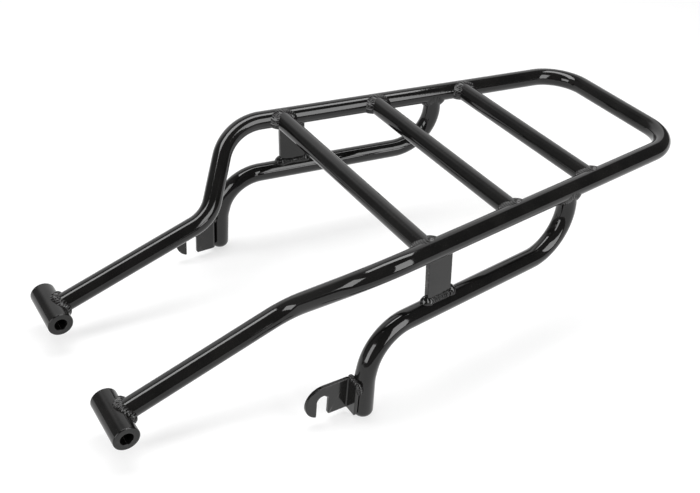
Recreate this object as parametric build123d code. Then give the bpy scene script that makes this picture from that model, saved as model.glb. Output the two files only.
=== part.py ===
from build123d import *
import math
import os

# Rear luggage rack for a motorcycle: one bent tube loop with three crossbars, two lower stays
# with gussets and hook brackets, and two bushes on a common mounting axis.
# Millimetres. The origin is the middle of the mounting axis through the two front bushes.
# +X points to the left side of the motorcycle, +Y to the rear and +Z up.

# Tube stock
TUBE_OD = 16.0
TUBE_WALL = 1.5
TUBE_R = TUBE_OD / 2

# Main loop: the corners of its left half and the bend radii of its centre line
ARM_X = 66.7
ELBOW_Y = 136.8
ELBOW_Z = 47.0
ELBOW_RADIUS = 34.0
DECK_Z = 98.2
SHOULDER_X = 117.0
SHOULDER_Y = 179.5
SHOULDER_RADIUS = 47.0
REAR_X = 75.5
REAR_Y = 522.6
REAR_RADIUS = 36.7

# Crossbars, evenly spaced, of slightly thinner stock
CROSSBAR_OD = 15.6
CROSSBAR_R = CROSSBAR_OD / 2
CROSSBAR_FIRST_Y = 226.5
CROSSBAR_PITCH = 90.7
CROSSBAR_NAMES = ("front", "middle", "rear")

# Lower stays: each corner's distance rearward and its drop below the deck.
# Rail and stay of one side lie in a wall plane that leans out towards the foot.
WALL_LEAN_DEG = 2.4
STAY_BEND_RADIUS = 36.7
STAY_DROP = 53.6
STAY_TOP_Y = 377.4
STAY_REAR_Y = 389.6
STAY_FRONT_Y = 181.0
LEG_Y = 173.0
KNEE_DROP = 90.7
FOOT_Z = -28.2
FOOT_CAP_HEIGHT = 7.5
FOOT_CAP_ROUND = 6.0
FOOT_SPIGOT = 8.0

# Gusset plates between the rails and the stays, with their lower ends set a little rearward
GUSSET_FRONT_Y = 225.6
GUSSET_LENGTH = 23.5
GUSSET_THICKNESS = 4.0
GUSSET_SHIFT = 3.8

# Hook brackets: a plate with a slot that is open downwards, and a flange bent out across the
# leg's front. The round nose is centred a little below the slot's round end.
PLATE_THICKNESS = 3.0
HOOK_INSET = 7.5
SLOT_Y = 141.1
SLOT_Z = -7.2
SLOT_WIDTH = 10.0
NOSE_RADIUS = 14.6
NOSE_DROP = 1.0
BRACKET_BOTTOM_Z = -22.6
BRACKET_CORNER = 1.5
FLANGE_REACH = 4.9
FLANGE_BED = 0.2
FLANGE_BEND = 2.6

# Mounting bushes, centred a little outside the arms
BUSH_X = 67.9
BUSH_OD = 20.0
BUSH_BORE = 10.0
BUSH_LENGTH = 44.5
BUSH_CHAMFER = 0.8

# Round weld beads: the radius of the ball that each one is cut from, about the crossing of the
# axes, and the half height and the middle and half length of the crown over the seam
WELD_BALL = 14.8
WELD_BALL_BUSH = 15.8
WELD_CROWN_HEIGHT = 9.4
WELD_CROWN_MIDDLE = 4.0
WELD_CROWN_REACH = 10.7

# Long weld beads: radius of the round-ended rod that each one is cut from
WELD_GUSSET_TOP = 3.4
WELD_GUSSET_BOTTOM = 4.2
WELD_HOOK = 2.8
WELD_HOOK_HEIGHT = 9.0

# Root gap that every piece leaves to the rail it is welded to
ROOT_GAP = 0.05

# Length of the straight bars that the joints are cut and built with
JOINT_RUN = 30.0

TAPER = (SHOULDER_X - REAR_X) / (REAR_Y - SHOULDER_Y)
LEAN = math.tan(math.radians(WALL_LEAN_DEG))


# Shared geometry


def rail_x(y):
    """Distance of the straight rail's axis from the symmetry plane at y."""
    return SHOULDER_X - TAPER * (y - SHOULDER_Y)


def wall_point(y, drop):
    """A point of the left wall plane, which holds the axes of the rail and the stay."""
    return Vector(rail_x(y) + drop * LEAN, y, DECK_Z - drop)


def bar(path, radius):
    """A solid round bar along a path of straight runs and tangent arcs."""
    return sweep(Plane(origin=path @ 0, z_dir=path % 0) * Circle(radius), path=path)


def rod(start, end, radius):
    """A straight round bar between two points."""
    return bar(Line(start, end), radius)


def tube(path, radius=TUBE_R):
    """A tube of the common wall thickness along a path."""
    return bar(path, radius) - bar(path, radius - TUBE_WALL)


def rail_rod(radius):
    """The straight run of the left rail as a solid bar."""
    return rod(wall_point(SHOULDER_Y, 0), wall_point(REAR_Y, 0), radius)


def rail_seat():
    """What the ends of the crossbars, stays, gussets and beads are cut back to."""
    return rail_rod(TUBE_R + ROOT_GAP)


def stay_rod(radius):
    """The level run of the left stay as a solid bar."""
    return rod(wall_point(STAY_FRONT_Y, STAY_DROP), wall_point(STAY_REAR_Y, STAY_DROP), radius)


def leg_rod(radius):
    """The leg of the left stay as a solid bar, down to the foot."""
    return rod(wall_point(LEG_Y, KNEE_DROP), wall_point(LEG_Y, DECK_Z - FOOT_Z), radius)


def crossbar_rod(y, radius):
    """The left end of a crossbar as a solid bar, up to the rail's axis."""
    end = wall_point(y, 0)
    return rod(end - Vector(JOINT_RUN, 0, 0), end, radius)


def bush_rod(radius):
    """A solid bar on the mounting axis, where the left bush is."""
    return Pos(BUSH_X, 0, 0) * Rot(0, 90, 0) * Cylinder(radius, BUSH_LENGTH)


def mirrored(shape):
    return shape.mirror(Plane.YZ)


def solid_of(shape):
    """The one solid that a cut leaves, without the offcuts."""
    return max(shape.solids(), key=lambda solid: solid.volume)


# Tubes


def main_loop():
    left = [
        (ARM_X, 0, 0),
        (ARM_X, ELBOW_Y, ELBOW_Z),
        (SHOULDER_X, SHOULDER_Y, DECK_Z),
        (REAR_X, REAR_Y, DECK_Z),
    ]
    right = [(-x, y, z) for x, y, z in reversed(left)]
    radii = [ELBOW_RADIUS, SHOULDER_RADIUS, REAR_RADIUS]
    path = FilletPolyline(*left, *right, radius=radii + radii[::-1])
    seat = bush_rod(BUSH_OD / 2)
    return solid_of(tube(path) - seat - mirrored(seat))


def crossbar(y):
    end = wall_point(y, 0)
    rail = rail_seat()
    whole = tube(Line(Vector(-end.X, y, DECK_Z), end), CROSSBAR_R)
    return solid_of(whole - rail - mirrored(rail))


def stay_path():
    """Centre line of the left stay, from the foot to the rail's axis."""
    corners = [
        wall_point(LEG_Y, DECK_Z - FOOT_Z - FOOT_CAP_HEIGHT),
        wall_point(LEG_Y, KNEE_DROP),
        wall_point(STAY_FRONT_Y, STAY_DROP),
        wall_point(STAY_REAR_Y, STAY_DROP),
        wall_point(STAY_TOP_Y, 0),
    ]
    return FilletPolyline(*corners, radius=STAY_BEND_RADIUS)


def stay():
    return solid_of(tube(stay_path()) - rail_seat())


def foot_cap():
    """Rounded plug that closes the lower end of the left stay."""
    dome = Pos(0, 0, -FOOT_CAP_HEIGHT / 2) * Cylinder(TUBE_R, FOOT_CAP_HEIGHT)
    dome = fillet(dome.edges().group_by(Axis.Z)[0], FOOT_CAP_ROUND)
    spigot = Pos(0, 0, FOOT_SPIGOT / 2) * Cylinder(TUBE_R - TUBE_WALL, FOOT_SPIGOT)
    end = wall_point(LEG_Y, DECK_Z - FOOT_Z - FOOT_CAP_HEIGHT)
    return Pos(*end) * Rot(0, -WALL_LEAN_DEG, 0) * (dome + spigot)


# Bushes and plates


def mount_bush():
    body = bush_rod(BUSH_OD / 2)
    body = chamfer(body.edges().filter_by(GeomType.CIRCLE), BUSH_CHAMFER)
    return body - bush_rod(BUSH_BORE / 2)


def gusset_y(drop):
    """The gusset's front edge at a drop below the deck."""
    return GUSSET_FRONT_Y + GUSSET_SHIFT * drop / STAY_DROP


def gusset_seam(drop, overhang):
    """Middle line of the gusset at a drop below the deck, longer by an overhang at both ends."""
    front = gusset_y(drop) - overhang
    rear = gusset_y(drop) + GUSSET_LENGTH + overhang
    return wall_point(front, drop), wall_point(rear, drop)


def gusset_block():
    """The gusset plate from the rail's axis to the stay's axis."""
    top_front, top_rear = gusset_seam(0, 0)
    bottom_front, bottom_rear = gusset_seam(STAY_DROP, 0)
    face = make_face(Polyline(top_front, top_rear, bottom_rear, bottom_front, close=True))
    return extrude(face, amount=GUSSET_THICKNESS / 2, both=True)


def gusset():
    return solid_of(gusset_block() - rail_seat() - stay_rod(TUBE_R))


def bracket_top():
    return SLOT_Z - NOSE_DROP + NOSE_RADIUS


def hook_outline():
    """Side view of the bracket: a round nose over the slot, and a straight plate to the leg."""
    top = bracket_top()
    height = top - BRACKET_BOTTOM_Z
    length = LEG_Y - SLOT_Y
    nose = Pos(SLOT_Y, SLOT_Z - NOSE_DROP) * Circle(NOSE_RADIUS)
    plate = Pos(SLOT_Y + length / 2, top - height / 2) * Rectangle(length, height)
    slot = Pos(SLOT_Y, SLOT_Z) * Circle(SLOT_WIDTH / 2)
    slot += Pos(SLOT_Y, SLOT_Z - height / 2) * Rectangle(SLOT_WIDTH, height)
    outline = nose + plate - slot
    return fillet(outline.vertices().group_by(Axis.Y)[0], BRACKET_CORNER)


def hook_plan():
    """Top view of the bent plate: straight at the hook, then bent out across the leg's front.
    The flange is bedded a little into the leg."""
    leg_x = wall_point(LEG_Y, DECK_Z - SLOT_Z).X
    flange_y = LEG_Y - TUBE_R - PLATE_THICKNESS / 2 + FLANGE_BED
    line = FilletPolyline(
        (leg_x - HOOK_INSET, SLOT_Y - 2 * NOSE_RADIUS),
        (leg_x - HOOK_INSET, flange_y),
        (leg_x + FLANGE_REACH, flange_y),
        radius=FLANGE_BEND,
    )
    return trace(line, line_width=PLATE_THICKNESS)


def hook_bracket():
    side = extrude(Plane.YZ * hook_outline(), amount=2 * SHOULDER_X)
    bent = extrude(hook_plan(), amount=2 * NOSE_RADIUS + SLOT_WIDTH, both=True)
    return solid_of((side & bent) - leg_rod(TUBE_R))


# Weld beads


def less(metal, *pieces):
    """The one solid of a bead that the pieces it joins leave."""
    for piece in pieces:
        metal = metal - piece
    return solid_of(metal)


def round_bead(seam, along_tube, along_other, radius):
    """A flattened ball round the end of a tube that meets another piece at the seam point."""
    crown = Plane.XZ * Pos(WELD_CROWN_MIDDLE, 0) * Ellipse(WELD_CROWN_REACH, WELD_CROWN_HEIGHT)
    saddle = Plane.YZ * Ellipse(radius, WELD_CROWN_HEIGHT)
    ball = Sphere(radius) & extrude(crown, amount=radius, both=True)
    ball = ball & extrude(saddle, amount=2 * radius, both=True)
    return Plane(origin=seam, x_dir=along_tube, z_dir=along_tube.cross(along_other)) * ball


def long_bead(start, end, radius):
    """A round-ended rod of weld metal along a seam."""
    return rod(start, end, radius) + Pos(*start) * Sphere(radius) + Pos(*end) * Sphere(radius)


def rail_direction():
    return (wall_point(REAR_Y, 0) - wall_point(SHOULDER_Y, 0)).normalized()


def crossbar_weld(y):
    """Bead round the left end of a crossbar, clear of the gusset."""
    seam = wall_point(y, 0)
    ball = round_bead(seam, Vector(-1, 0, 0), Vector(0, 1, 0), WELD_BALL)
    return less(ball, crossbar_rod(y, CROSSBAR_R), rail_seat(), gusset_block())


def stay_weld():
    """Bead round the top of the stay, under the rail."""
    seam = wall_point(STAY_TOP_Y, 0)
    down = (wall_point(STAY_REAR_Y, STAY_DROP) - seam).normalized()
    rail = rail_direction()
    level = (rail - down * rail.dot(down)).normalized()
    ball = round_bead(seam, down, level, WELD_BALL)
    return less(ball, rod(seam, seam + down * JOINT_RUN, TUBE_R), rail_seat())


def gusset_top_weld():
    """Bead along the plate's top edge, under the rail and clear of the front crossbar's bead."""
    bead = long_bead(*gusset_seam(TUBE_R, 0), WELD_GUSSET_TOP)
    return less(bead, gusset_block(), rail_seat(), crossbar_weld(CROSSBAR_FIRST_Y))


def gusset_bottom_weld():
    """Bead along the plate's bottom edge, on the stay."""
    bead = long_bead(*gusset_seam(STAY_DROP - TUBE_R, 0), WELD_GUSSET_BOTTOM)
    return less(bead, gusset_block(), stay_rod(TUBE_R))


def bush_weld():
    """Bead round the coped end of the arm, on the bush."""
    seam = Vector(ARM_X, 0, 0)
    along = Vector(0, ELBOW_Y, ELBOW_Z).normalized()
    ball = round_bead(seam, along, Vector(1, 0, 0), WELD_BALL_BUSH)
    return less(ball, rod(seam, seam + along * JOINT_RUN, TUBE_R), bush_rod(BUSH_OD / 2))


def hook_weld():
    """Bead down the flange's outer end, on the leg's front."""
    top = bracket_top()
    x = wall_point(LEG_Y, DECK_Z - top).X + FLANGE_REACH
    start = Vector(x, LEG_Y - TUBE_R, top)
    bead = long_bead(start, start - Vector(0, 0, WELD_HOOK_HEIGHT), WELD_HOOK)
    return less(bead, bar(stay_path(), TUBE_R), hook_bracket())


def left_pieces():
    """The pieces of the left side; the right side is their mirror image."""
    pieces = {
        "stay": stay(),
        "foot_cap": foot_cap(),
        "mount_bush": mount_bush(),
        "gusset": gusset(),
        "hook_bracket": hook_bracket(),
        "weld_stay_top": stay_weld(),
        "weld_gusset_top": gusset_top_weld(),
        "weld_gusset_bottom": gusset_bottom_weld(),
        "weld_mount_bush": bush_weld(),
        "weld_hook_bracket": hook_weld(),
    }
    for index, name in enumerate(CROSSBAR_NAMES):
        pieces[f"weld_crossbar_{name}"] = crossbar_weld(CROSSBAR_FIRST_Y + index * CROSSBAR_PITCH)
    return pieces


def all_pieces():
    pieces = {"main_loop": main_loop()}
    for index, name in enumerate(CROSSBAR_NAMES):
        pieces[f"crossbar_{name}"] = crossbar(CROSSBAR_FIRST_Y + index * CROSSBAR_PITCH)
    for name, shape in left_pieces().items():
        pieces[f"{name}_left"] = shape
        pieces[f"{name}_right"] = mirrored(shape)
    return pieces


os.makedirs("parts", exist_ok=True)
for node, shape in all_pieces().items():
    export_step(shape, f"parts/{node}.step")
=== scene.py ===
import math

import bmesh
import bpy
from mathutils import Matrix, Vector, noise


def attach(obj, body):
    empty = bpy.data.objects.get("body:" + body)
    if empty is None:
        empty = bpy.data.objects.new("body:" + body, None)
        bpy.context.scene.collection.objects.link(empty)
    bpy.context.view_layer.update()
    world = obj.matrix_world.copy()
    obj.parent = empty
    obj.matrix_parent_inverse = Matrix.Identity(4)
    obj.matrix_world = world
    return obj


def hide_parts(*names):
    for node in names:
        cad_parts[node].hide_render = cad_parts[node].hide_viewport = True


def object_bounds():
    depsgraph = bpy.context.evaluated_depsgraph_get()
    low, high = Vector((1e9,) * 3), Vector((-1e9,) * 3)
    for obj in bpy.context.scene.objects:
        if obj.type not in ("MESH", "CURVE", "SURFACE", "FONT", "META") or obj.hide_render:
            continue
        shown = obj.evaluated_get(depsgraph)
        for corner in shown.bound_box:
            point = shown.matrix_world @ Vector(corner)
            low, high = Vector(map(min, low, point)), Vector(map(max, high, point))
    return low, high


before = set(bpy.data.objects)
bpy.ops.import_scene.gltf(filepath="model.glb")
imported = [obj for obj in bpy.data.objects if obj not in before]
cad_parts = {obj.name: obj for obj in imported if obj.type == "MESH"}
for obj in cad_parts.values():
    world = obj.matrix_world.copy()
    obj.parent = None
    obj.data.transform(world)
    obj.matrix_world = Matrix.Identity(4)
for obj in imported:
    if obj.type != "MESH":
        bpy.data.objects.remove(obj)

CAD_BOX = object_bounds()
BODY = "root"
SIDES = {"left": 1, "right": -1}
MM = 0.001

scene = bpy.context.scene
scene.view_settings.view_transform = "Standard"

# Camera

CAMERA_PLACE = (0.54458, -0.14575, 0.50217)
CAMERA_RIGHT = (0.53085, 0.84472, 0.06822)
CAMERA_UP = (-0.52224, 0.26267, 0.81134)
SENSOR = 36.0
LENS = 49.9

# Dimensions in millimetres, as in the CAD part

TUBE_R = 8.0
CROSSBAR_R = 7.8
ARM_X = 66.7
ELBOW = (136.8, 47.0)
ELBOW_RADIUS = 34.0
SHOULDER = (117.0, 179.5)
SHOULDER_RADIUS = 47.0
REAR = (75.5, 522.6)
REAR_RADIUS = 36.7
DECK_Z = 98.2
CROSSBAR_Y = {"front": 226.5, "middle": 317.2, "rear": 407.9}
STAY_BEND_RADIUS = 36.7
STAY_DROP = 53.6
STAY_TOP_Y = 377.4
STAY_REAR_Y = 389.6
STAY_FRONT_Y = 181.0
LEG_Y = 173.0
KNEE_DROP = 90.7
FOOT_Z = -28.2
FOOT_CAP_HEIGHT = 7.5
TAPER = (SHOULDER[0] - REAR[0]) / (REAR[1] - SHOULDER[1])
LEAN = math.tan(math.radians(2.4))
BUSH_X = 67.9
BUSH_R = 10.0
BORE_R = 5.0
BUSH_LENGTH = 44.5
GUSSET_FRONT_Y = 225.6
GUSSET_LENGTH = 23.5
GUSSET_THICKNESS = 4.0
GUSSET_SHIFT = 3.8
PLATE_THICKNESS = 3.0
HOOK_INSET = 7.5
SLOT_Y = 141.1
SLOT_Z = -7.2
SLOT_WIDTH = 10.0
NOSE_RADIUS = 14.6
NOSE_DROP = 1.0
BRACKET_TOP_Z = SLOT_Z - NOSE_DROP + NOSE_RADIUS
BRACKET_BOTTOM_Z = -22.6
BRACKET_CORNER = 1.5
PRONG_CORNER = 0.9
FLANGE_CORNER = 0.8
FLANGE_REACH = 4.9
FLANGE_BED = 0.2
FLANGE_BEND = 2.6
FOOT_CAP_ROUND = 6.0

# How far pieces run on inside the pieces they are welded to, in millimetres

LOOP_START = BUSH_R - 3.0
CROSSBAR_INSET = 2.0
STAY_INSET = 2.0
PLUG_REBATE = (1.0, 0.8)
GUSSET_EMBED = 2.5
NOSE_MARGIN = 1.0
BEND_MARGIN = 0.4

# Rounding of edges, in millimetres

BUSH_EDGE = 0.9
BORE_EDGE = 0.5
PLATE_EDGE = 0.45

# Weld beads: leg length, bulge, ripple pitch and ripple depth, in millimetres

BEAD_CROSSBAR = (4.6, 0.35, 1.75, 0.6)
BEAD_STAY = (4.2, 0.4, 1.75, 0.42)
BEAD_BUSH = (3.7, 1.1, 2.1, 0.7)
BEAD_GUSSET_TOP = (1.9, 0.3, 1.6, 0.3)
BEAD_GUSSET_BOTTOM = (3.3, 0.8, 1.9, 0.6)
BEAD_EMBED = 0.15
BEAD_ROOT = 1.1
BEAD_POINTS = 300
BEAD_PROFILE = 10
SEAM_CLEARANCE = 0.12

# Unevenness of the beads: how far each measure varies, and over what length it does

LEG_VARIATION = 0.22
LEG_RIPPLE = 0.07
LEG_FREQUENCY = 0.22
BULGE_VARIATION = 0.5
BULGE_FREQUENCY = 0.35
PHASE_VARIATION = 0.9
PHASE_FREQUENCY = 0.3
RIPPLE_SWING = 2.4
RIPPLE_MEAN = 0.64
LUMP_BASE = 0.9
LUMP_GAIN = 0.75

# Hook bead, in millimetres. The corners of its route are offsets from the leg's front and the
# bracket's top: the first two from the plate's middle and the others from past the flange's end.

HOOK_BEAD_ROUTE = [(0.5, 0.4, -2.2), (2.0, -0.6, 0.5), (-1.0, -0.4, 0.4), (0.0, 1.3, -9.0)]
HOOK_BEAD_RADIUS = 2.25
HOOK_BEAD_DROP = 0.45
HOOK_BEAD_LUMP = 0.5
HOOK_BEAD_PITCH = 2.3
HOOK_BEAD_STEP = 0.22
HOOK_BEAD_TAPER = 8
HOOK_BEAD_CORNER = 2.0
HOOK_BEAD_SEED = 21
HOOK_BEAD_OUTSET = 0.9

# Paint: colours are linear, scales are per metre

PAINT_DEEP = (0.0034, 0.0033, 0.0032)
PAINT_THIN = (0.0062, 0.0059, 0.0056)
PAINT_CLOUD_SCALE = 45.0
DUST_COLOUR = (0.11, 0.105, 0.1)
DUST_SCALE = 1700.0
DUST_SHARE = 0.2
WORN_COLOUR = (0.05, 0.048, 0.047)
WEAR_SCALE = 260.0
GLOSS_SCALE = 70.0

# Noise values between which each effect sets in, and what it adds to the roughness

CLOUD_RANGE = (0.35, 0.7)
DUST_RANGE = (0.68, 0.76)
SETTLE_RANGE = (0.2, 0.9)
SETTLE_SHARE = (0.15, 1.0)
RUB_RANGE = (0.4, 0.65)
EDGE_RANGE = (0.53, 0.62)
GLOSS_RANGE = (0.3, 0.7)
DUST_ROUGHNESS = 0.3
WEAR_ROUGHNESS = 0.2
PAINT_IOR = 1.5

# Each paint: name, range of roughness, peel and grain as (scale, depth), and wear

PAINTS = {
    "tube_paint": ("gloss_black_on_tube", (0.05, 0.10), (420, 2.2e-5), (2600, 1.2e-6), 0.5),
    "plate_paint": ("gloss_black_on_plate", (0.07, 0.15), (300, 2.5e-5), (1500, 3e-6), 1.0),
    "bush_paint": ("gloss_black_on_bush", (0.07, 0.14), (360, 2.0e-5), (2200, 2.5e-6), 1.0),
    "weld_paint": ("gloss_black_on_weld", (0.06, 0.20), (900, 6.0e-5), (2600, 5e-6), 0.7),
}

# Studio: brightness is relative to the display's white

FLOOR_REACH = 30.0
FLOOR_GLOW = 0.60
FLOOR_ALBEDO = 0.42
FLOOR_ROUGHNESS = 0.9
TABLE = [(-3, -0.3), (0.05, -0.3), (0.65, 0.3), (0.75, 0.9), (0.4, 3), (-3, 3)]
ROOM_GLOW = 0.10
BACKDROP_GLOW = 1.0
BACKDROP_REST = 0.12
BACKDROP_AZIMUTHS = (33.0, 112.0)
BACKDROP_SOFTNESS = (3.0, 14.0)
BACKDROP_TOP = (0.67, 0.79)
BACKDROP_TOP_SHARE = 0.25
CAMERA_WALL = 1.0

# Softboxes: place, target, size, radiance and spin in degrees

SOFTBOXES = {
    "softbox_top": ((-0.28, 0.27, 1.5), (-0.28, 0.27, 0), (0.57, 1.75), 6.5, -11.0),
    "softbox_right": ((1.2, 0.6, 0.6), (0.0, 0.3, 0.1), (0.7, 1.2), 5.0, 0.0),
    "softbox_left": ((0.4, -1.2, 0.5), (0.0, 0.2, 0.1), (0.8, 1.0), 5.0, 0.0),
}

# Meshing

TUBE_SEGMENTS = 72
PATH_STEP = 3.0


def rail_x(y):
    return SHOULDER[0] - TAPER * (y - SHOULDER[1])


def wall_point(y, drop):
    """A point of the left wall plane, which holds the axes of the rail and the stay."""
    return Vector((rail_x(y) + drop * LEAN, y, DECK_Z - drop))


# Paths and sweeps


def fillet_path(corners, radii, step=PATH_STEP):
    """Points and directions along straight runs joined by tangent arcs."""
    points = []
    start = corners[0]
    for index, radius in enumerate(radii):
        corner = corners[index + 1]
        into = (corner - corners[index]).normalized()
        out = (corners[index + 2] - corner).normalized()
        turn = into.angle(out)
        tangent = radius * math.tan(turn / 2)
        arc_start = corner - into * tangent
        add_run(points, start, arc_start, into, step)
        axis = into.cross(out).normalized()
        centre = arc_start + axis.cross(into) * radius
        count = max(6, round(radius * turn / step * 1.5))
        for k in range(1, count):
            spin = Matrix.Rotation(turn * k / count, 3, axis)
            points.append((centre + spin @ (arc_start - centre), spin @ into))
        start = corner + out * tangent
    add_run(points, start, corners[-1], (corners[-1] - start).normalized(), step)
    points.append((corners[-1].copy(), (corners[-1] - start).normalized()))
    return points


def add_run(points, start, end, direction, step):
    length = (end - start).length
    count = max(1, round(length / step))
    for k in range(count):
        points.append((start + direction * (length * k / count), direction))


def frames_along(path, up):
    """A cross-section frame at every path point, carried along without twisting."""
    frames = []
    normal = (up - path[0][1] * up.dot(path[0][1])).normalized()
    for point, direction in path:
        normal = (normal - direction * normal.dot(direction)).normalized()
        frames.append((point, direction, normal, direction.cross(normal)))
    return frames


def sweep(bm, path, radius_at, up=Vector((0, 0, 1)), segments=TUBE_SEGMENTS):
    """A closed tube skin round a path; radius_at(index, angle) gives its radius."""
    rings = []
    for index, (point, _, normal, side) in enumerate(frames_along(path, up)):
        ring = []
        for k in range(segments):
            angle = math.tau * k / segments
            out = normal * math.cos(angle) + side * math.sin(angle)
            ring.append(bm.verts.new((point + out * radius_at(index, angle)) * MM))
        rings.append(ring)
    for low, high in zip(rings, rings[1:]):
        for k in range(segments):
            n = (k + 1) % segments
            bm.faces.new((low[k], low[n], high[n], high[k]))
    for ring, point in ((rings[0][::-1], path[0][0]), (rings[-1], path[-1][0])):
        cap(bm, ring, point * MM)


def cap(bm, ring, centre):
    """Closes a ring with a fan."""
    middle = bm.verts.new(centre)
    for k, vert in enumerate(ring):
        bm.faces.new((vert, ring[(k + 1) % len(ring)], middle))


def flat_faced(piece):
    """Lets the large faces keep their own shading up to their rounded edges."""
    piece.modifiers.new("face_shading", "WEIGHTED_NORMAL").keep_sharp = True


def finish_piece(name, bm, replaced, material, sharp_deg=35):
    bmesh.ops.recalc_face_normals(bm, faces=bm.faces)
    mesh = bpy.data.meshes.new(name)
    bm.to_mesh(mesh)
    bm.free()
    for polygon in mesh.polygons:
        polygon.use_smooth = True
    mesh.set_sharp_from_angle(angle=math.radians(sharp_deg))
    piece = bpy.data.objects.new(name, mesh)
    scene.collection.objects.link(piece)
    mesh.materials.append(material)
    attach(piece, BODY)
    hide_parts(*replaced)
    return piece


def mirrored(path):
    return [(Vector((-p.x, p.y, p.z)), Vector((-d.x, d.y, d.z))) for p, d in path]


# Tubes


def loop_path():
    left = [
        Vector((ARM_X, 0, 0)),
        Vector((ARM_X, *ELBOW)),
        Vector((*SHOULDER, DECK_Z)),
        Vector((*REAR, DECK_Z)),
    ]
    along = (left[1] - left[0]).normalized()
    left[0] = left[0] + along * LOOP_START
    corners = left + [Vector((-p.x, p.y, p.z)) for p in reversed(left)]
    radii = [ELBOW_RADIUS, SHOULDER_RADIUS, REAR_RADIUS]
    return fillet_path(corners, radii + radii[::-1])


def stay_path():
    corners = [
        wall_point(LEG_Y, DECK_Z - FOOT_Z - FOOT_CAP_HEIGHT),
        wall_point(LEG_Y, KNEE_DROP),
        wall_point(STAY_FRONT_Y, STAY_DROP),
        wall_point(STAY_REAR_Y, STAY_DROP),
        wall_point(STAY_TOP_Y, STAY_INSET),
    ]
    return fillet_path(corners, [STAY_BEND_RADIUS] * 3)


def crossbar_path(y):
    end = Vector((rail_x(y) - CROSSBAR_INSET, y, DECK_Z))
    start = Vector((-end.x, y, DECK_Z))
    return fillet_path([start, end], [])


def add_tubes(material):
    bm = bmesh.new()
    sweep(bm, loop_path(), lambda index, angle: TUBE_R)
    finish_piece("tube_loop", bm, ["main_loop"], material)
    for name, y in CROSSBAR_Y.items():
        bm = bmesh.new()
        sweep(bm, crossbar_path(y), lambda index, angle: CROSSBAR_R)
        finish_piece(f"tube_crossbar_{name}", bm, [f"crossbar_{name}"], material)
    for side, sign in SIDES.items():
        path = stay_path() if sign > 0 else mirrored(stay_path())
        bm = bmesh.new()
        sweep(bm, path, lambda index, angle: TUBE_R, up=Vector((0, 1, 0)))
        finish_piece(f"tube_stay_{side}", bm, [f"stay_{side}"], material)


# Turned pieces


def arc_points(centre, radius, start_deg, end_deg, count):
    angles = [math.radians(start_deg + (end_deg - start_deg) * k / count) for k in range(count + 1)]
    return [(centre[0] + radius * math.cos(a), centre[1] + radius * math.sin(a)) for a in angles]


def lathe(bm, profile, centre, axis, closed, segments=TUBE_SEGMENTS):
    """Turns (along, radius) points about an axis; an open profile is capped at both ends."""
    side = axis.orthogonal().normalized()
    other = axis.cross(side)
    rings = []
    for along, radius in profile:
        ring = []
        for k in range(segments):
            angle = math.tau * k / segments
            out = side * math.cos(angle) + other * math.sin(angle)
            ring.append(bm.verts.new((centre + axis * along + out * radius) * MM))
        rings.append(ring)
    pairs = list(zip(rings, rings[1:]))
    if closed:
        pairs.append((rings[-1], rings[0]))
    for low, high in pairs:
        for k in range(segments):
            n = (k + 1) % segments
            bm.faces.new((low[k], low[n], high[n], high[k]))
    if not closed:
        cap(bm, rings[0][::-1], (centre + axis * profile[0][0]) * MM)
        cap(bm, rings[-1], (centre + axis * profile[-1][0]) * MM)


def bush_profile():
    """Half section of the bush: the outside, an end face, the bore and the other end face."""
    half = BUSH_LENGTH / 2
    outer = half - BUSH_EDGE
    inner = half - BORE_EDGE
    right = arc_points((outer, BUSH_R - BUSH_EDGE), BUSH_EDGE, 90, 0, 5)
    right += arc_points((inner, BORE_R + BORE_EDGE), BORE_EDGE, 0, -90, 3)
    left = [(-along, radius) for along, radius in reversed(right)]
    return right + left


def add_bushes(material):
    for side, sign in SIDES.items():
        bm = bmesh.new()
        lathe(bm, bush_profile(), Vector((sign * BUSH_X, 0, 0)), Vector((1, 0, 0)), True)
        piece = finish_piece(f"bush_{side}", bm, [f"mount_bush_{side}"], material, 60)
        flat_faced(piece)


def add_foot_caps(material):
    """A rounded plug below each leg's open end."""
    centre = (FOOT_CAP_ROUND - FOOT_CAP_HEIGHT, TUBE_R - FOOT_CAP_ROUND)
    corner = arc_points(centre, FOOT_CAP_ROUND, 90, 180, 12)
    profile = [(PLUG_REBATE[0], TUBE_R - PLUG_REBATE[1]), (0.0, TUBE_R)] + corner
    for side, sign in SIDES.items():
        end = wall_point(LEG_Y, DECK_Z - FOOT_Z - FOOT_CAP_HEIGHT)
        up = (wall_point(LEG_Y, KNEE_DROP) - end).normalized()
        end.x *= sign
        up.x *= sign
        bm = bmesh.new()
        lathe(bm, profile, end, up, False)
        finish_piece(f"cap_foot_{side}", bm, [f"foot_cap_{side}"], material)


# Plates


def flat_plate(bm, outline, thickness):
    """A plate round the plane z = 0 from a closed outline, with rounded edges."""
    base = [bm.verts.new((x, y, -thickness / 2)) for x, y in outline]
    face = bm.faces.new(base)
    extruded = bmesh.ops.extrude_face_region(bm, geom=[face])["geom"]
    moved = [g for g in extruded if isinstance(g, bmesh.types.BMVert)]
    bmesh.ops.translate(bm, verts=moved, vec=(0, 0, thickness))
    bmesh.ops.recalc_face_normals(bm, faces=bm.faces)
    rims = [e for e in bm.edges if abs(e.verts[0].co.z - e.verts[1].co.z) < thickness / 2]
    bmesh.ops.bevel(bm, geom=rims, offset=PLATE_EDGE, segments=3, profile=0.5, affect="EDGES")


def cut_across(bm, places):
    """Adds lines of vertices across the plate at these x places, so that it can be bent there."""
    for x in places:
        geometry = bm.verts[:] + bm.edges[:] + bm.faces[:]
        bmesh.ops.bisect_plane(bm, geom=geometry, plane_co=(x, 0, 0), plane_no=(1, 0, 0), dist=1e-5)


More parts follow.
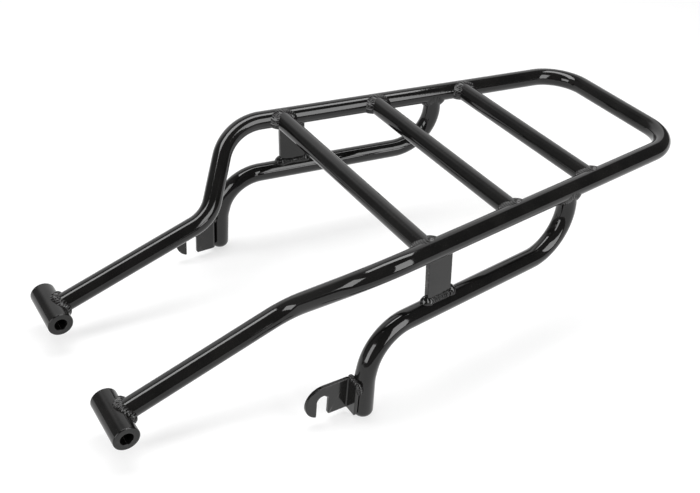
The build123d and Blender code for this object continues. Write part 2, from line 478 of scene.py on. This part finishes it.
def gusset_outline():
    """Side view in the wall plane, as (y, drop), with its ends inside the rail and the stay."""
    top = TUBE_R - GUSSET_EMBED
    bottom = STAY_DROP - TUBE_R + GUSSET_EMBED
    shift = GUSSET_SHIFT / STAY_DROP
    rows = [(top, 0), (top, GUSSET_LENGTH), (bottom, GUSSET_LENGTH), (bottom, 0)]
    return [(GUSSET_FRONT_Y + shift * drop + across, drop) for drop, across in rows]


def add_gussets(material):
    for side, sign in SIDES.items():
        bm = bmesh.new()
        flat_plate(bm, gusset_outline(), GUSSET_THICKNESS)
        along = (wall_point(REAR[0], 0) - wall_point(SHOULDER[1], 0)).normalized()
        down = (wall_point(SHOULDER[1], DECK_Z) - wall_point(SHOULDER[1], 0)).normalized()
        out = along.cross(down).normalized()
        for vert in bm.verts:
            y, drop, w = vert.co
            place = wall_point(y, drop) + out * w
            vert.co = Vector((place.x * sign, place.y, place.z)) * MM
        bmesh.ops.triangulate(bm, faces=[f for f in bm.faces if len(f.verts) > 4])
        name = f"plate_gusset_{side}"
        flat_faced(finish_piece(name, bm, [f"gusset_{side}"], material, 60))


def hook_midline():
    """Top view of the bent plate, from the nose to the flange's end across the leg's front."""
    leg_x = wall_point(LEG_Y, DECK_Z - SLOT_Z).x
    flange_y = LEG_Y - TUBE_R - PLATE_THICKNESS / 2 + FLANGE_BED
    corners = [
        Vector((leg_x - HOOK_INSET, SLOT_Y - NOSE_RADIUS - NOSE_MARGIN, 0)),
        Vector((leg_x - HOOK_INSET, flange_y, 0)),
        Vector((leg_x + FLANGE_REACH, flange_y, 0)),
    ]
    return fillet_path(corners, [FLANGE_BEND], step=1.0)


def distances(path):
    """How far along the path each of its points lies."""
    run = [0.0]
    for (low, _), (high, _) in zip(path, path[1:]):
        run.append(run[-1] + (high - low).length)
    return run


def hook_outline(length):
    """The flat plate before bending, as (distance along it, z): a round nose over the slot, and
    a straight plate."""
    slot = NOSE_RADIUS + NOSE_MARGIN
    half = SLOT_WIDTH / 2
    nose_z = SLOT_Z - NOSE_DROP
    prong = math.degrees(math.asin((half + PRONG_CORNER) / NOSE_RADIUS))
    points = arc_points((slot, nose_z), NOSE_RADIUS, 90, 270 - prong, 40)
    tip = points.pop()
    points += arc_points((tip[0], tip[1] + PRONG_CORNER), PRONG_CORNER, 270, 360, 4)
    points += arc_points((slot, SLOT_Z), half, 180, 0, 20)
    corner = BRACKET_BOTTOM_Z + BRACKET_CORNER
    points += arc_points((slot + half + BRACKET_CORNER, corner), BRACKET_CORNER, 180, 270, 5)
    end = length - FLANGE_CORNER
    points += arc_points((end, BRACKET_BOTTOM_Z + FLANGE_CORNER), FLANGE_CORNER, 270, 360, 4)
    points += arc_points((end, BRACKET_TOP_Z - FLANGE_CORNER), FLANGE_CORNER, 0, 90, 4)
    return points


def bent_place(midline, runs, along, z, w):
    """Where a point of the flat plate lies once it is bent; w is through its thickness."""
    k = max(i for i in range(len(runs) - 1) if runs[i] <= along + 1e-6)
    share = (along - runs[k]) / (runs[k + 1] - runs[k])
    (low, into), (high, out) = midline[k], midline[k + 1]
    direction = into.lerp(out, share).normalized()
    return low.lerp(high, share) + Vector((direction.y, -direction.x, 0)) * w + Vector((0, 0, z))


def add_hooks(material):
    midline = hook_midline()
    runs = distances(midline)
    bend = [run for run, (_, direction) in zip(runs, midline) if 0.02 < abs(direction.x) < 0.9999]
    for side, sign in SIDES.items():
        bm = bmesh.new()
        flat_plate(bm, hook_outline(runs[-1]), PLATE_THICKNESS)
        cut_across(bm, [bend[0] - BEND_MARGIN] + bend + [bend[-1] + BEND_MARGIN])
        for vert in bm.verts:
            place = bent_place(midline, runs, *vert.co)
            vert.co = Vector((place.x * sign, place.y, place.z)) * MM
        bmesh.ops.triangulate(bm, faces=[f for f in bm.faces if len(f.verts) > 4])
        name = f"plate_hook_{side}"
        flat_faced(finish_piece(name, bm, [f"hook_bracket_{side}"], material, 60))


# Weld beads


def round_section(radius):
    """Points and outward normals round the end of a tube."""
    turns = [math.tau * k / BEAD_POINTS for k in range(BEAD_POINTS)]
    return [(radius * math.cos(a), radius * math.sin(a), math.cos(a), math.sin(a)) for a in turns]


def plate_section(length, thickness):
    """Points and outward normals round the end of a plate, rounded at its short sides."""
    half = thickness / 2
    flat = length - thickness
    around = 2 * flat + math.tau * half
    points = []
    for k in range(BEAD_POINTS):
        s = around * k / BEAD_POINTS
        lower = s >= around / 2
        s -= around / 2 * lower
        flip = -1 if lower else 1
        if s < flat:
            p, q, normal_p, normal_q = s - flat / 2, half, 0.0, 1.0
        else:
            turn = math.pi / 2 - (s - flat) / half
            normal_p, normal_q = math.cos(turn), math.sin(turn)
            p, q = flat / 2 + half * normal_p, half * normal_q
        points.append((p * flip, q * flip, normal_p * flip, normal_q * flip))
    return points


def seam_points(along, main, section, radius):
    """The seam where a branch of this section meets a tube, about the crossing of the axes.
    Each point comes with the outward normals of the branch and of the tube."""
    ahead = (main - along * main.dot(along)).normalized()
    across = along.cross(ahead)
    reach = radius + SEAM_CLEARANCE
    rise = along - main * along.dot(main)
    seam = []
    for p, q, normal_p, normal_q in section:
        base = ahead * p + across * q
        flat = base - main * base.dot(main)
        a, b, c = rise.dot(rise), 2 * rise.dot(flat), flat.dot(flat) - reach * reach
        point = base + along * ((math.sqrt(max(0, b * b - 4 * a * c)) - b) / (2 * a))
        tube_normal = (point - main * point.dot(main)).normalized()
        seam.append((point, ahead * normal_p + across * normal_q, tube_normal))
    return seam


def wobble(point, scale, seed):
    return noise.noise(point * scale + Vector((seed, seed * 0.7, 0)))


def scallop(phase):
    """The height of one weld ripple after another: round crests with sharp valleys between."""
    return abs(math.cos(phase / 2)) - RIPPLE_MEAN


def bead_ring(point, branch_normal, tube_normal, phase, sizes, joint, seed):
    """One cross-section of a fillet bead, from its toe on the branch to its toe on the tube."""
    leg, bulge, _, depth = sizes
    along, main, radius = joint
    leg *= 1 + LEG_VARIATION * wobble(point, LEG_FREQUENCY, seed) + LEG_RIPPLE * scallop(phase)
    away = (branch_normal - tube_normal * branch_normal.dot(tube_normal)).normalized()
    toe = point + along * leg - branch_normal * BEAD_EMBED
    far = point + away * leg
    middle = main * far.dot(main)
    far = middle + (far - middle).normalized() * (radius - BEAD_EMBED)
    outward = (branch_normal + tube_normal).normalized()
    uneven = 1 + BULGE_VARIATION * wobble(point, BULGE_FREQUENCY, seed + 9)
    control = (toe + far) / 2 + outward * (2 * bulge * uneven)
    ring = []
    for k in range(BEAD_PROFILE + 1):
        u = k / BEAD_PROFILE
        place = toe * (1 - u) ** 2 + control * (2 * u * (1 - u)) + far * u**2
        swing = phase + RIPPLE_SWING * math.sin(math.pi * u)
        lift = depth * math.sin(math.pi * u) ** 0.7 * scallop(swing)
        ring.append(place + outward * lift)
    ring.append(point - outward * BEAD_ROOT)
    return ring


def seam_bead(bm, origin, along, main, radius, section, sizes, seed, size_at=None):
    """A rippled fillet bead all round the end of a branch on a tube through the origin."""
    seam = seam_points(along, main, section, radius)
    steps = [(seam[k][0] - seam[k - 1][0]).length for k in range(len(seam))]
    ripples = max(3, round(sum(steps) / sizes[2]))
    rings = []
    run = 0.0
    for (point, branch_normal, tube_normal), step in zip(seam, steps):
        run += step
        phase = math.tau * ripples * run / sum(steps)
        phase += PHASE_VARIATION * wobble(point, PHASE_FREQUENCY, seed + 4)
        scale = size_at(point) if size_at else 1.0
        scaled = (sizes[0] * scale, sizes[1] * scale, sizes[2], sizes[3])
        joint = (along, main, radius)
        rings.append(bead_ring(point, branch_normal, tube_normal, phase, scaled, joint, seed))
    skin_ring_of_rings(bm, [[bm.verts.new((origin + p) * MM) for p in ring] for ring in rings])


def skin_ring_of_rings(bm, rings):
    for k, ring in enumerate(rings):
        before = rings[k - 1]
        for j in range(len(ring)):
            n = (j + 1) % len(ring)
            bm.faces.new((before[j], before[n], ring[n], ring[j]))


def end_lumps(point):
    """A gusset bead is heavier at both ends of the plate than along its sides."""
    return LUMP_BASE + LUMP_GAIN * min(1.0, abs(point.y) / (GUSSET_LENGTH / 2)) ** 6


def bead_jobs():
    """Every bead of the left side that runs round a seam: its node and what it joins."""
    rail = (wall_point(REAR[1], 0) - wall_point(SHOULDER[1], 0)).normalized()
    stay_down = (wall_point(STAY_REAR_Y, STAY_DROP) - wall_point(STAY_TOP_Y, 0)).normalized()
    wall_down = (wall_point(SHOULDER[1], DECK_Z) - wall_point(SHOULDER[1], 0)).normalized()
    arm = Vector((0, *ELBOW)).normalized()
    plate = plate_section(GUSSET_LENGTH, GUSSET_THICKNESS)
    jobs = []
    for name, y in CROSSBAR_Y.items():
        bar = round_section(CROSSBAR_R)
        inward = Vector((-1, 0, 0))
        end = wall_point(y, 0)
        jobs.append((f"crossbar_{name}", end, inward, rail, TUBE_R, bar, BEAD_CROSSBAR, None))
    tube = round_section(TUBE_R)
    stay_end = wall_point(STAY_TOP_Y, 0)
    jobs.append(("stay_top", stay_end, stay_down, rail, TUBE_R, tube, BEAD_STAY, None))
    arm_end = Vector((ARM_X, 0, 0))
    axis = Vector((1, 0, 0))
    jobs.append(("mount_bush", arm_end, arm, axis, BUSH_R, tube, BEAD_BUSH, None))
    middle = GUSSET_FRONT_Y + GUSSET_LENGTH / 2
    top = wall_point(middle, 0)
    bottom = wall_point(middle + GUSSET_SHIFT, STAY_DROP)
    jobs.append(("gusset_top", top, wall_down, rail, TUBE_R, plate, BEAD_GUSSET_TOP, None))
    sizes = BEAD_GUSSET_BOTTOM
    jobs.append(("gusset_bottom", bottom, -wall_down, rail, TUBE_R, plate, sizes, end_lumps))
    return jobs


def hook_bead_path():
    """Along the flange's top edge on the leg's front, then down past the flange's outer end."""
    leg_x = wall_point(LEG_Y, DECK_Z - BRACKET_TOP_Z).x
    front = LEG_Y - TUBE_R
    sides = [leg_x - HOOK_INSET] * 2 + [leg_x + FLANGE_REACH + HOOK_BEAD_OUTSET] * 2
    corners = []
    for x, (across, behind, above) in zip(sides, HOOK_BEAD_ROUTE):
        corners.append(Vector((x + across, front + behind, BRACKET_TOP_Z + above)))
    return fillet_path(corners, [HOOK_BEAD_CORNER] * 2, step=HOOK_BEAD_STEP)


def hook_bead_radius(path):
    """A lumpy run of separate drops, tapering to nothing at both ends."""

    def radius_at(index, angle):
        place, _ = path[index]
        end = min(index, len(path) - 1 - index) / HOOK_BEAD_TAPER
        taper = math.sqrt(min(1.0, max(0.05, end)))
        drops = HOOK_BEAD_DROP * scallop(math.tau * index * HOOK_BEAD_STEP / HOOK_BEAD_PITCH)
        lumps = HOOK_BEAD_LUMP * wobble(place, PHASE_FREQUENCY, HOOK_BEAD_SEED)
        return taper * (HOOK_BEAD_RADIUS + drops + lumps)

    return radius_at


def add_beads(material):
    for seed, (name, origin, along, main, radius, section, sizes, size_at) in enumerate(bead_jobs()):
        for side, sign in SIDES.items():
            bm = bmesh.new()
            seam_bead(bm, origin, along, main, radius, section, sizes, seed * 13 + sign * 3, size_at)
            mirror_if_right(bm, sign)
            node = f"weld_{name}_{side}"
            finish_piece(f"weld_bead_{name}_{side}", bm, [node], material, 60)
    path = hook_bead_path()
    for side, sign in SIDES.items():
        bm = bmesh.new()
        sweep(bm, path, hook_bead_radius(path), up=Vector((0, 1, 0)), segments=28)
        mirror_if_right(bm, sign)
        node = f"weld_hook_bracket_{side}"
        finish_piece(f"weld_bead_hook_{side}", bm, [node], material, 60)


def mirror_if_right(bm, sign):
    for vert in bm.verts:
        vert.co.x *= sign


# Materials


def node_material(name):
    material = bpy.data.materials.new(name)
    material.use_nodes = True
    nodes = material.node_tree.nodes
    nodes.clear()
    out = nodes.new("ShaderNodeOutputMaterial")
    shader = nodes.new("ShaderNodeBsdfPrincipled")
    material.node_tree.links.new(shader.outputs[0], out.inputs[0])
    return material, shader


def noise_node(tree, coordinates, scale, detail=2.0):
    node = tree.nodes.new("ShaderNodeTexNoise")
    node.inputs["Scale"].default_value = scale
    node.inputs["Detail"].default_value = detail
    tree.links.new(coordinates, node.inputs["Vector"])
    return node.outputs["Fac"]


def colour_mix(tree, factor, low, high):
    node = tree.nodes.new("ShaderNodeMix")
    node.data_type = "RGBA"
    tree.links.new(factor, node.inputs["Factor"])
    for socket, colour in ((node.inputs[6], low), (node.inputs[7], high)):
        if isinstance(colour, tuple):
            socket.default_value = (*colour, 1)
        else:
            tree.links.new(colour, socket)
    return node.outputs[2]


def bump_node(tree, height, depth, normal=None):
    node = tree.nodes.new("ShaderNodeBump")
    node.inputs["Strength"].default_value = 1.0
    node.inputs["Distance"].default_value = depth
    tree.links.new(height, node.inputs["Height"])
    if normal:
        tree.links.new(normal, node.inputs["Normal"])
    return node.outputs[0]


def black_paint(name, gloss, peel, grain, wear):
    """Gloss black paint: uneven gloss, orange peel, settled dust and thin paint along the edges.
    gloss is the range of roughness, peel and grain are (scale, depth) of the surface waviness
    and of what shows through from the metal, and wear is how bright the worn edges are."""
    material, shader = node_material(name)
    tree = material.node_tree
    place = tree.nodes.new("ShaderNodeTexCoord").outputs["Object"]
    geometry = tree.nodes.new("ShaderNodeNewGeometry")
    upward = tree.nodes.new("ShaderNodeSeparateXYZ")
    tree.links.new(geometry.outputs["Normal"], upward.inputs[0])

    cloud = noise_node(tree, place, PAINT_CLOUD_SCALE, 3.0)
    tone = colour_mix(tree, smooth_step(tree, cloud, *CLOUD_RANGE), PAINT_DEEP, PAINT_THIN)
    speck = smooth_step(tree, noise_node(tree, place, DUST_SCALE, 1.0), *DUST_RANGE)
    settled = smooth_step(tree, upward.outputs["Z"], *SETTLE_RANGE, *SETTLE_SHARE)
    dust = math_node(tree, "MULTIPLY", math_node(tree, "MULTIPLY", speck, settled), DUST_SHARE)
    dusty = colour_mix(tree, dust, tone, DUST_COLOUR)
    rub = smooth_step(tree, noise_node(tree, place, WEAR_SCALE, 4.0), *RUB_RANGE)
    edge = smooth_step(tree, geometry.outputs["Pointiness"], *EDGE_RANGE)
    worn = math_node(tree, "MULTIPLY", math_node(tree, "MULTIPLY", rub, edge), wear)
    tree.links.new(colour_mix(tree, worn, dusty, WORN_COLOUR), shader.inputs["Base Color"])

    sheen = smooth_step(tree, noise_node(tree, place, GLOSS_SCALE, 3.0), *GLOSS_RANGE, *gloss)
    rough = math_node(tree, "MULTIPLY_ADD", dust, DUST_ROUGHNESS, sheen)
    rough = math_node(tree, "MULTIPLY_ADD", worn, WEAR_ROUGHNESS, rough)
    tree.links.new(rough, shader.inputs["Roughness"])

    waves = bump_node(tree, noise_node(tree, place, peel[0], 1.0), peel[1])
    fine = bump_node(tree, noise_node(tree, place, grain[0], 3.0), grain[1], waves)
    tree.links.new(fine, shader.inputs["Normal"])
    shader.inputs["IOR"].default_value = PAINT_IOR
    return material


def add_materials():
    return {slot: black_paint(*settings) for slot, settings in PAINTS.items()}


# Studio


def add_camera():
    right = Vector(CAMERA_RIGHT).normalized()
    back = right.cross(Vector(CAMERA_UP)).normalized()
    up = back.cross(right)
    data = bpy.data.cameras.new("camera")
    data.sensor_width = SENSOR
    data.lens = LENS
    data.clip_start = 0.01
    camera = bpy.data.objects.new("camera", data)
    turn = Matrix((right, up, back)).transposed().to_4x4()
    camera.matrix_world = Matrix.Translation(CAMERA_PLACE) @ turn
    scene.collection.objects.link(camera)
    scene.camera = camera


def softbox(name, place, target, size, radiance, spin_deg):
    """A one-sided rectangular light of even brightness, which the camera doesn't see."""
    data = bpy.data.lights.new(name, "AREA")
    data.shape = "RECTANGLE"
    data.size, data.size_y = size
    data.energy = radiance * math.pi * size[0] * size[1]
    light = bpy.data.objects.new(name, data)
    light.location = place
    aim = (Vector(target) - Vector(place)).to_track_quat("-Z", "Y").to_matrix()
    light.rotation_euler = (aim @ Matrix.Rotation(math.radians(spin_deg), 3, "Z")).to_euler()
    light.visible_camera = False
    scene.collection.objects.link(light)


def add_floor():
    mesh = bpy.data.meshes.new("floor")
    r = FLOOR_REACH
    z = CAD_BOX[0].z
    mesh.from_pydata([(-r, -r, z), (r, -r, z), (r, r, z), (-r, r, z)], [], [(0, 1, 2, 3)])
    floor = bpy.data.objects.new("floor", mesh)
    floor.visible_glossy = False
    scene.collection.objects.link(floor)
    material, shader = node_material("floor_white")
    shader.inputs["Base Color"].default_value = (FLOOR_ALBEDO, FLOOR_ALBEDO, FLOOR_ALBEDO, 1)
    shader.inputs["Roughness"].default_value = FLOOR_ROUGHNESS
    shader.inputs["Specular IOR Level"].default_value = 0.0
    shader.inputs["Emission Color"].default_value = (1, 1, 1, 1)
    shader.inputs["Emission Strength"].default_value = FLOOR_GLOW
    mesh.materials.append(material)
    table_mesh = bpy.data.meshes.new("table")
    table_mesh.from_pydata([(x, y, z) for x, y in TABLE], [], [tuple(range(len(TABLE)))])
    table_mesh.materials.append(material)
    table = bpy.data.objects.new("table", table_mesh)
    table.visible_camera = False
    table.visible_diffuse = False
    table.visible_shadow = False
    scene.collection.objects.link(table)


def math_node(tree, operation, *values):
    node = tree.nodes.new("ShaderNodeMath")
    node.operation = operation
    for socket, value in zip(node.inputs, values):
        if isinstance(value, (int, float)):
            socket.default_value = value
        else:
            tree.links.new(value, socket)
    return node.outputs[0]


def smooth_step(tree, value, low, high, to_low=0.0, to_high=1.0):
    node = tree.nodes.new("ShaderNodeMapRange")
    node.interpolation_type = "SMOOTHSTEP"
    tree.links.new(value, node.inputs["Value"])
    for key, number in (("From Min", low), ("From Max", high), ("To Min", to_low), ("To Max", to_high)):
        node.inputs[key].default_value = number
    return node.outputs[0]


def add_world():
    """A dark studio with a white backdrop on one side; the camera itself sees a plain pale wall."""
    world = bpy.data.worlds.new("studio")
    scene.world = world
    world.use_nodes = True
    tree = world.node_tree
    background = tree.nodes["Background"]
    direction = tree.nodes.new("ShaderNodeTexCoord").outputs["Generated"]
    split = tree.nodes.new("ShaderNodeSeparateXYZ")
    tree.links.new(direction, split.inputs[0])
    x, y, z = split.outputs
    azimuth = math_node(tree, "ARCTAN2", math_node(tree, "MULTIPLY", x, -1.0), y)
    near_edge, far_edge = (math.radians(a) for a in BACKDROP_AZIMUTHS)
    soft_near, soft_far = (math.radians(a) for a in BACKDROP_SOFTNESS)
    rise = smooth_step(tree, azimuth, near_edge - soft_near, near_edge + soft_near)
    fall = smooth_step(tree, azimuth, far_edge - soft_far, far_edge + soft_far, 1.0, BACKDROP_REST)
    height = smooth_step(tree, z, *BACKDROP_TOP, 1.0, BACKDROP_TOP_SHARE)
    wall = math_node(tree, "MULTIPLY", math_node(tree, "MULTIPLY", rise, fall), height)
    glow = math_node(tree, "MULTIPLY_ADD", wall, BACKDROP_GLOW - ROOM_GLOW, ROOM_GLOW)
    path = tree.nodes.new("ShaderNodeLightPath")
    seen = tree.nodes.new("ShaderNodeMix")
    seen.data_type = "FLOAT"
    tree.links.new(path.outputs["Is Camera Ray"], seen.inputs["Factor"])
    tree.links.new(glow, seen.inputs[2])
    seen.inputs[3].default_value = CAMERA_WALL
    tree.links.new(seen.outputs[0], background.inputs["Strength"])
    background.inputs["Color"].default_value = (1, 1, 1, 1)


def add_lights():
    for name, settings in SOFTBOXES.items():
        softbox(name, *settings)


add_camera()
add_floor()
add_world()
add_lights()
paints = add_materials()
add_tubes(paints["tube_paint"])
add_foot_caps(paints["tube_paint"])
add_bushes(paints["bush_paint"])
add_gussets(paints["plate_paint"])
add_hooks(paints["plate_paint"])
add_beads(paints["weld_paint"])
